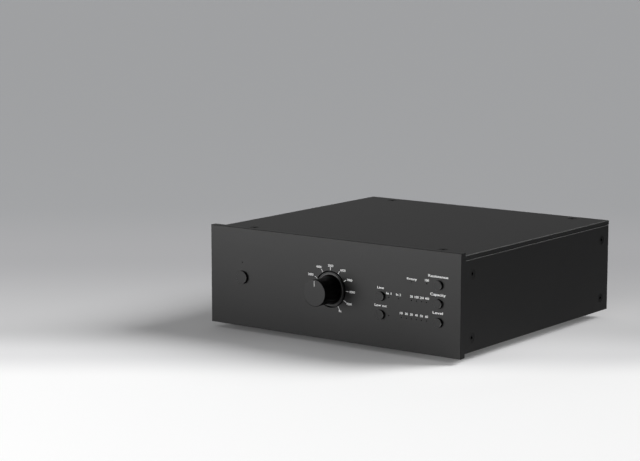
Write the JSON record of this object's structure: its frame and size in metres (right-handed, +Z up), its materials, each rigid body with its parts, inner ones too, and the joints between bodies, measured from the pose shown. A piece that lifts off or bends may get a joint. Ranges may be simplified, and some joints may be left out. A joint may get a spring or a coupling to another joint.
{
  "type": "phono preamp",
  "caption": "Flat metal phono preamp with a rotary load control, push buttons beside indicator lamps, and phono, balanced, power and ground sockets at the rear.",
  "frame": {"origin": "middle of the footprint, on the surface that the feet rest on", "axes": "+X to the right seen from the front, +Y to the rear, +Z up"},
  "size_m": [0.206, 0.218, 0.072],
  "materials": {
    "panel_anodised": "bead blasted and anodised dark grey",
    "case_anodised": "bead blasted and anodised dark grey",
    "rear_coat": "anodised black",
    "inner_aluminium": "mill finish",
    "knob_anodised": "turned and anodised black",
    "button_anodised": "turned and anodised dark grey",
    "foot_rubber": "moulded",
    "black_screw": "black oxide",
    "bright_screw": "zinc plated",
    "control_metal": "nickel plated",
    "pillar_brass": "nickel plated",
    "board_laminate": "solder mask on glass laminate",
    "switch_plastic": "moulded",
    "clear_plastic": "moulded clear",
    "relay_plastic": "moulded",
    "capacitor_sleeve": "shrink sleeve",
    "film_box": "moulded box",
    "chip_epoxy": "moulded epoxy",
    "sink_anodised": "extruded and anodised black",
    "socket_gold": "gold plated",
    "insulator_nylon": "turned nylon",
    "socket_black": "moulded, black",
    "contact_silver": "silver plated"
  },
  "bodies": {
    "case": {"front_panel": "panel_anodised", "front_frame": "inner_aluminium", "rear_panel": "rear_coat", "top_cover": "case_anodised", "bottom_plate": "case_anodised", "left_side_panel": "case_anodised", "right_side_panel": "case_anodised", "foot_front_left": "foot_rubber", "foot_front_right": "foot_rubber", "foot_rear_left": "foot_rubber", "foot_rear_right": "foot_rubber", "top_cover_screws": "black_screw", "side_panel_screws": "black_screw", "bottom_plate_screws": "black_screw", "foot_screws": "bright_screw", "front_panel_screws": "bright_screw", "board_screws": "bright_screw", "board_pillars": "pillar_brass", "main_board": "board_laminate", "control_board": "board_laminate", "socket_board": "board_laminate", "board_link": "switch_plastic", "load_control": "control_metal", "control_nut": "bright_screw", "power_switch": "switch_plastic", "selector_switches": "switch_plastic", "light_guides": "clear_plastic", "indicator_leds": "clear_plastic", "relays": "relay_plastic", "electrolytic_capacitors": "capacitor_sleeve", "film_capacitors": "film_box", "amplifier_chips": "chip_epoxy", "voltage_regulators": "chip_epoxy", "heat_sink": "sink_anodised", "rca_input_left": "socket_gold", "rca_input_right": "socket_gold", "rca_output_left": "socket_gold", "rca_output_right": "socket_gold", "rca_contacts": "socket_gold", "rca_insulators": "insulator_nylon", "socket_nuts": "bright_screw", "xlr_output_left": "socket_black", "xlr_output_right": "socket_black", "xlr_contacts": "contact_silver", "xlr_screws": "black_screw", "balanced_input": "socket_black", "power_inlet": "socket_black", "power_inlet_pin": "contact_silver", "ground_post": "socket_gold"},
    "knob": {"knob": "knob_anodised", "knob_grub_screw": "black_screw", "control_shaft": "control_metal"},
    "power_button": {"power_button": "button_anodised"},
    "input_button": {"input_button": "button_anodised"},
    "filter_button": {"filter_button": "button_anodised"},
    "load_button": {"load_button": "button_anodised"},
    "capacitance_button": {"capacitance_button": "button_anodised"},
    "gain_button": {"gain_button": "button_anodised"},
    "ground_washer": {"ground_washer": "contact_silver"},
    "ground_nut": {"ground_nut": "socket_gold"}
  },
  "joints": [
    {"name": "load_turn", "type": "hinge", "parent": "case", "child": "knob", "pos_m": [0, -0.091, 0.0378], "axis": [0, 1, 0], "range_deg": [-150, 150]},
    {"name": "power_button_press", "type": "slide", "parent": "case", "child": "power_button", "axis": [0, 1, 0], "range_m": [0, 0.001], "stiffness_N_per_m": 900, "springref_m": -0.001},
    {"name": "input_button_press", "type": "slide", "parent": "case", "child": "input_button", "axis": [0, 1, 0], "range_m": [0, 0.0006], "stiffness_N_per_m": 800, "springref_m": -0.001},
    {"name": "filter_button_press", "type": "slide", "parent": "case", "child": "filter_button", "axis": [0, 1, 0], "range_m": [0, 0.0006], "stiffness_N_per_m": 800, "springref_m": -0.001},
    {"name": "load_button_press", "type": "slide", "parent": "case", "child": "load_button", "axis": [0, 1, 0], "range_m": [0, 0.0006], "stiffness_N_per_m": 800, "springref_m": -0.001},
    {"name": "capacitance_button_press", "type": "slide", "parent": "case", "child": "capacitance_button", "axis": [0, 1, 0], "range_m": [0, 0.0006], "stiffness_N_per_m": 800, "springref_m": -0.001},
    {"name": "gain_button_press", "type": "slide", "parent": "case", "child": "gain_button", "axis": [0, 1, 0], "range_m": [0, 0.0006], "stiffness_N_per_m": 800, "springref_m": -0.001},
    {"name": "washer_slide", "type": "slide", "parent": "case", "child": "ground_washer", "axis": [0, 1, 0], "range_m": [0, 0.0014]},
    {"name": "nut_turn", "type": "hinge", "parent": "ground_washer", "child": "ground_nut", "pos_m": [0.08845, 0.1019, 0.03745], "axis": [0, 1, 0], "range_deg": [0, 720]}
  ],
  "couplings": [
    {"joint": "nut_turn", "follows": "washer_slide", "rad_per_m": 8976}
  ]
}
